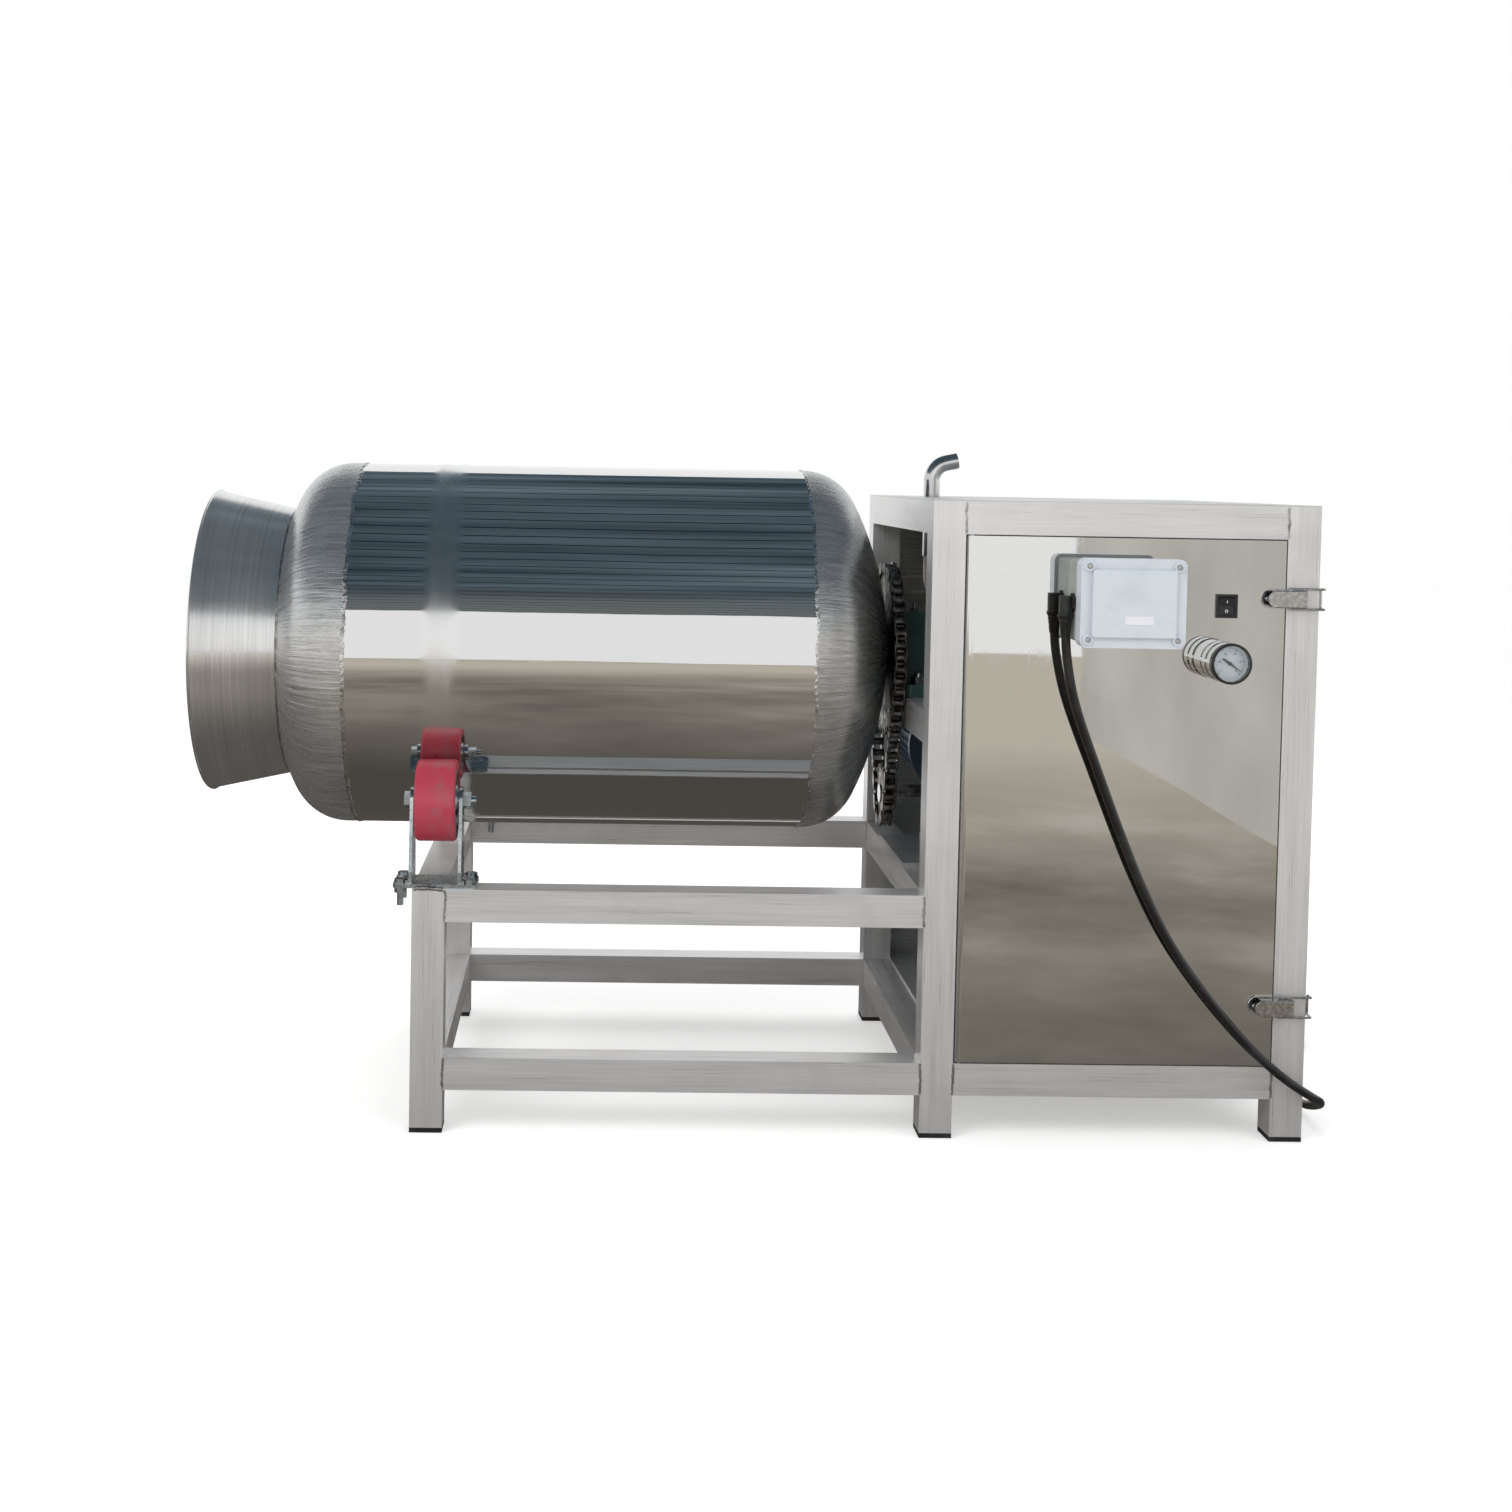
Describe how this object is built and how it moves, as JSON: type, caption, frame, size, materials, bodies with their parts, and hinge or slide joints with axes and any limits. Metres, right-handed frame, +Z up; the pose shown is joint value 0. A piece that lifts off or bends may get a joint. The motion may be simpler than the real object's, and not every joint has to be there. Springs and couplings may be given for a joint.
{
  "type": "meat vacuum tumbler",
  "caption": "Horizontal stainless drum with a cone mouth, turned by a chain on casters and a pillow block to tumble meat under vacuum beside its drive cabinet.",
  "frame": {"origin": "on the floor under the middle of the machine's box, leaving the power cable, its coil and plug out", "axes": "+X along the drum from its mouth to the drive cabinet, -Y to the operator's side with the door, +Z up"},
  "size_m": [1.551, 0.635, 0.8456],
  "materials": {
    "frame_steel": "brushed",
    "satin_steel": "satin",
    "mirror_steel": "polished",
    "zinc": "zinc plated",
    "black_rubber": "matt",
    "red_tread": "satin",
    "cast_block": "painted",
    "chain_steel": "oiled",
    "blue_motor": "satin",
    "grey_casting": "cast",
    "hose": "reinforced hose",
    "brass": "machined",
    "box_lid": "satin",
    "box_base": "satin",
    "black_plastic": "gloss",
    "dial_white": "printed",
    "needle_black": "satin",
    "clear_cover": "clear",
    "white_seal": "silicone",
    "baffle_steel": "satin"
  },
  "bodies": {
    "frame": {"left_legs": "frame_steel", "middle_legs": "frame_steel", "right_legs": "frame_steel", "rubber_feet": "black_rubber", "lower_rails": "frame_steel", "upper_rails": "frame_steel", "cabinet_rails": "frame_steel", "cross_rails": "frame_steel", "bearing_beam": "frame_steel", "top_sheet": "satin_steel", "side_panel": "satin_steel", "rear_panel": "satin_steel", "cabinet_shelves": "satin_steel", "exhaust_pipe": "satin_steel", "pillow_block": "cast_block", "caster_brackets": "zinc", "caster_axles": "zinc", "frame_bolts": "zinc", "gearbox": "grey_casting", "motor": "blue_motor", "vacuum_pump": "blue_motor", "rotary_union": "brass", "vacuum_hoses": "hose", "latch_catches": "satin_steel", "drive_chain": "chain_steel"},
    "drum": {"drum_shell": "mirror_steel", "front_head": "satin_steel", "rear_head": "satin_steel", "mouth_cone": "satin_steel", "drum_baffles": "baffle_steel", "drum_shaft": "satin_steel", "driven_sprocket": "chain_steel"},
    "lid": {"lid_plate": "clear_cover", "lid_seal": "white_seal", "lid_handle": "satin_steel"},
    "front_wheel": {"front_tyre": "red_tread", "front_wheel_core": "zinc"},
    "rear_wheel": {"rear_tyre": "red_tread", "rear_wheel_core": "zinc"},
    "drive": {"drive_sprocket": "chain_steel", "output_shaft": "satin_steel"},
    "door": {"door_panel": "mirror_steel", "door_pivots": "zinc", "control_box_base": "box_base", "control_box_lid": "box_lid", "box_fittings": "black_plastic", "switch_bezel": "black_plastic", "gauge_case": "mirror_steel", "gauge_bezel": "black_plastic", "gauge_dial": "dial_white", "latch_bases": "satin_steel", "power_cable": "black_rubber", "cable_coil": "black_rubber", "plug": "black_rubber"},
    "rocker": {"switch_rocker": "black_plastic"},
    "needle": {"gauge_needle": "needle_black"},
    "upper_lever": {"upper_latch_lever": "satin_steel"},
    "upper_loop": {"upper_latch_loop": "satin_steel"},
    "lower_lever": {"lower_latch_lever": "satin_steel"},
    "lower_loop": {"lower_latch_loop": "satin_steel"}
  },
  "joints": [
    {"name": "drum_spin", "type": "hinge", "parent": "frame", "child": "drum", "pos_m": [0, 0.031, 0.577], "axis": [1, 0, 0], "continuous": true, "deforming": ["drive_chain"]},
    {"name": "front_wheel_spin", "type": "hinge", "parent": "frame", "child": "front_wheel", "pos_m": [-0.3805, -0.202, 0.40384], "axis": [1, 0, 0], "continuous": true},
    {"name": "rear_wheel_spin", "type": "hinge", "parent": "frame", "child": "rear_wheel", "pos_m": [-0.3805, 0.264, 0.40384], "axis": [1, 0, 0], "continuous": true},
    {"name": "drive_spin", "type": "hinge", "parent": "frame", "child": "drive", "pos_m": [0.2175, 0.031, 0.38046], "axis": [1, 0, 0], "continuous": true, "deforming": ["drive_chain"]},
    {"name": "lid_slide", "type": "slide", "parent": "drum", "child": "lid", "axis": [-1, 0, 0], "range_m": [0, 0.25]},
    {"name": "door_swing", "type": "hinge", "parent": "frame", "child": "door", "pos_m": [0.266, -0.227, 0.43], "axis": [0, 0, -1], "range_deg": [0, 100]},
    {"name": "rocker_tilt", "type": "hinge", "parent": "door", "child": "rocker", "pos_m": [0.577, -0.234, 0.6605], "axis": [1, 0, 0], "range_deg": [-16, 0]},
    {"name": "needle_turn", "type": "hinge", "parent": "door", "child": "needle", "pos_m": [0.567, -0.284, 0.595], "axis": [0, -1, 0], "range_deg": [0, 250], "stiffness_Nm_per_rad": 0.0001},
    {"name": "upper_lever_turn", "type": "hinge", "parent": "door", "child": "upper_lever", "pos_m": [0.665, -0.242, 0.6705], "axis": [0, 0, 1], "range_deg": [0, 110]},
    {"name": "upper_loop_turn", "type": "hinge", "parent": "upper_lever", "child": "upper_loop", "pos_m": [0.653, -0.24, 0.6705], "axis": [0, 0, 1], "range_deg": [-110, 0]},
    {"name": "lower_lever_turn", "type": "hinge", "parent": "door", "child": "lower_lever", "pos_m": [0.665, -0.242, 0.169], "axis": [0, 0, 1], "range_deg": [0, 110]},
    {"name": "lower_loop_turn", "type": "hinge", "parent": "lower_lever", "child": "lower_loop", "pos_m": [0.653, -0.24, 0.169], "axis": [0, 0, 1], "range_deg": [-110, 0]}
  ],
  "couplings": [
    {"joint": "front_wheel_spin", "follows": "drum_spin", "ratio": -4.8},
    {"joint": "rear_wheel_spin", "follows": "drum_spin", "ratio": -4.8},
    {"joint": "drive_spin", "follows": "drum_spin", "ratio": 2.9333},
    {"joint": "upper_loop_turn", "follows": "upper_lever_turn", "ratio": -1},
    {"joint": "lower_loop_turn", "follows": "lower_lever_turn", "ratio": -1}
  ]
}
